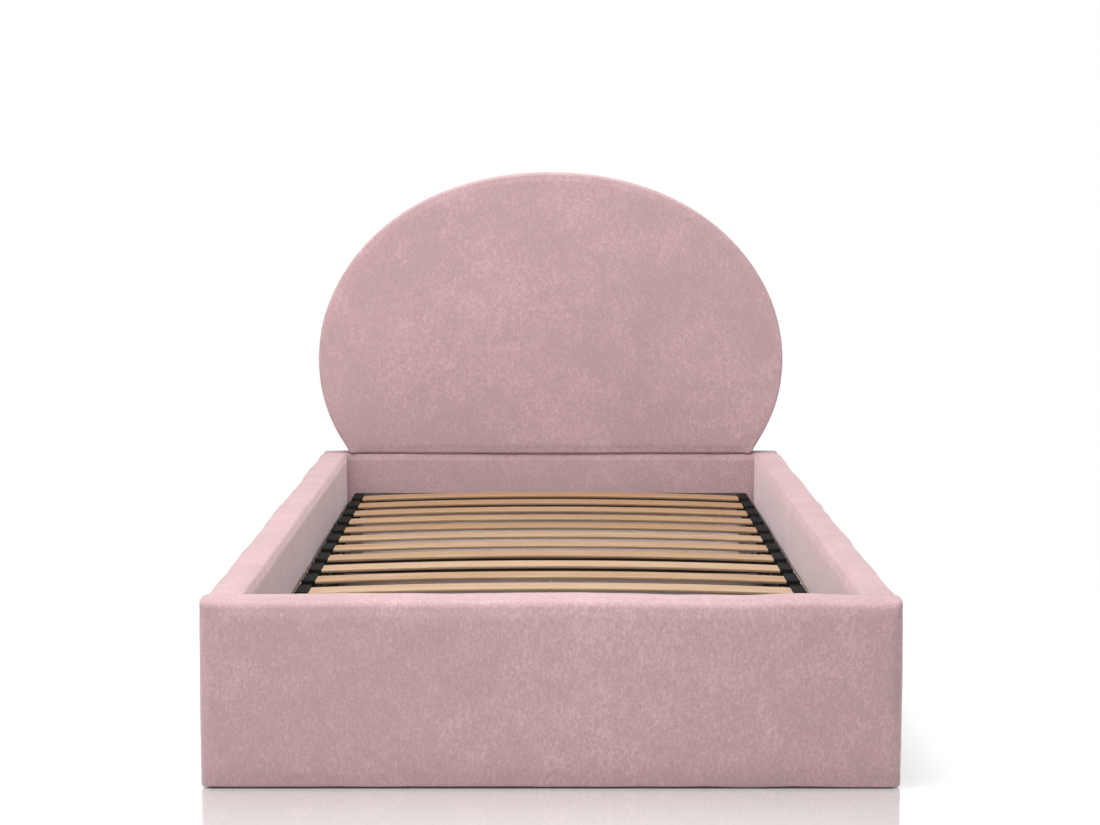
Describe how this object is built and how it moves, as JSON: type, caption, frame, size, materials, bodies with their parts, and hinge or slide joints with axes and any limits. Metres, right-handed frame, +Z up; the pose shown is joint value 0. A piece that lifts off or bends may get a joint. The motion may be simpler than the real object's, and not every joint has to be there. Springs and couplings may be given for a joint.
{
  "type": "upholstered storage bed",
  "caption": "Velvet storage bed with a round headboard, thick padded sides and a slatted base that lifts on gas struts.",
  "frame": {"origin": "on the floor, under the middle of the whole bed", "axes": "+Z up, +Y from the foot to the head, +X to the right when seen from the foot"},
  "size_m": [1.372, 2.2002, 1.19],
  "materials": {
    "velvet": "matte",
    "foam": "matte",
    "lining": "matte",
    "pale_board": "matte",
    "timber": "matte",
    "plywood": "matte",
    "dark_board": "matte",
    "bent_wood": "satin",
    "black_plastic": "satin",
    "black_steel": "satin",
    "zinc_steel": "satin",
    "strut_black": "gloss",
    "strut_chrome": "polished"
  },
  "bodies": {
    "box": {"foot_inner_board": "pale_board", "foot_timber_frame": "timber", "foot_foam": "foam", "foot_cover": "velvet", "head_inner_board": "pale_board", "head_timber_frame": "timber", "head_foam": "foam", "head_cover": "velvet", "left_inner_board": "pale_board", "left_timber_frame": "timber", "left_foam": "foam", "left_cover": "velvet", "right_inner_board": "pale_board", "right_timber_frame": "timber", "right_foam": "foam", "right_cover": "velvet", "headboard_core": "plywood", "headboard_foam": "foam", "headboard_cover": "velvet", "headboard_lining": "lining", "headboard_plates": "black_steel", "frame_bolts": "zinc_steel", "corner_brackets": "zinc_steel", "box_battens": "timber", "bottom_boards": "dark_board", "glides": "black_plastic", "lift_wall_plate_left": "black_steel", "lift_wall_plate_right": "black_steel", "wall_screws": "zinc_steel"},
    "slatted_base": {"base_tube_left": "black_steel", "base_tube_right": "black_steel", "base_tube_head": "black_steel", "base_tube_middle": "black_steel", "base_tube_foot": "black_steel", "slat_01": "bent_wood", "slat_02": "bent_wood", "slat_03": "bent_wood", "slat_04": "bent_wood", "slat_05": "bent_wood", "slat_06": "bent_wood", "slat_07": "bent_wood", "slat_08": "bent_wood", "slat_09": "bent_wood", "slat_10": "bent_wood", "slat_11": "bent_wood", "slat_12": "bent_wood", "slat_13": "bent_wood", "slat_14": "bent_wood", "slat_holders_left": "black_plastic", "slat_holders_right": "black_plastic", "base_bracket_left": "black_steel", "base_bracket_right": "black_steel"},
    "rear_arm_left": {"rear_arm_left": "black_steel"},
    "front_arm_left": {"front_arm_left": "black_steel"},
    "strut_barrel_left": {"strut_barrel_left": "strut_black"},
    "strut_rod_left": {"strut_rod_left": "strut_chrome"},
    "rear_arm_right": {"rear_arm_right": "black_steel"},
    "front_arm_right": {"front_arm_right": "black_steel"},
    "strut_barrel_right": {"strut_barrel_right": "strut_black"},
    "strut_rod_right": {"strut_rod_right": "strut_chrome"}
  },
  "joints": [
    {"name": "lift", "type": "hinge", "parent": "box", "child": "rear_arm_left", "pos_m": [-0.5895, 0.51485, 0.095], "axis": [1, 0, 0], "range_deg": [0, 62]},
    {"name": "base_tilt", "type": "hinge", "parent": "rear_arm_left", "child": "slatted_base", "pos_m": [-0.5895, 0.78485, 0.165], "axis": [1, 0, 0], "range_deg": [-97, 0]},
    {"name": "rear_arm_right_turn", "type": "hinge", "parent": "box", "child": "rear_arm_right", "pos_m": [0.5895, 0.51485, 0.095], "axis": [1, 0, 0], "range_deg": [0, 62]},
    {"name": "front_arm_left_turn", "type": "hinge", "parent": "box", "child": "front_arm_left", "pos_m": [-0.5895, 0.22513, 0.11], "axis": [1, 0, 0], "range_deg": [0, 48.3]},
    {"name": "strut_left_turn", "type": "hinge", "parent": "box", "child": "strut_barrel_left", "pos_m": [-0.566, 0.86485, 0.075], "axis": [1, 0, 0], "range_deg": [-18.2, 0]},
    {"name": "strut_rod_left_slide", "type": "slide", "parent": "strut_barrel_left", "child": "strut_rod_left", "axis": [0, -0.979, 0.2039], "range_m": [0, 0.1905]},
    {"name": "front_arm_right_turn", "type": "hinge", "parent": "box", "child": "front_arm_right", "pos_m": [0.5895, 0.22513, 0.11], "axis": [1, 0, 0], "range_deg": [0, 48.3]},
    {"name": "strut_right_turn", "type": "hinge", "parent": "box", "child": "strut_barrel_right", "pos_m": [0.566, 0.86485, 0.075], "axis": [1, 0, 0], "range_deg": [-18.2, 0]},
    {"name": "strut_rod_right_slide", "type": "slide", "parent": "strut_barrel_right", "child": "strut_rod_right", "axis": [0, -0.979, 0.2039], "range_m": [0, 0.1905]}
  ],
  "couplings": [
    {"joint": "base_tilt", "follows": "lift", "ratio": -1.5645},
    {"joint": "rear_arm_right_turn", "follows": "lift", "ratio": 1},
    {"joint": "front_arm_left_turn", "follows": "lift", "ratio": 0.77821},
    {"joint": "strut_left_turn", "follows": "lift", "ratio": -0.29259},
    {"joint": "strut_rod_left_slide", "follows": "lift", "m_per_rad": 0.17587},
    {"joint": "front_arm_right_turn", "follows": "lift", "ratio": 0.77821},
    {"joint": "strut_right_turn", "follows": "lift", "ratio": -0.29259},
    {"joint": "strut_rod_right_slide", "follows": "lift", "m_per_rad": 0.17587}
  ]
}
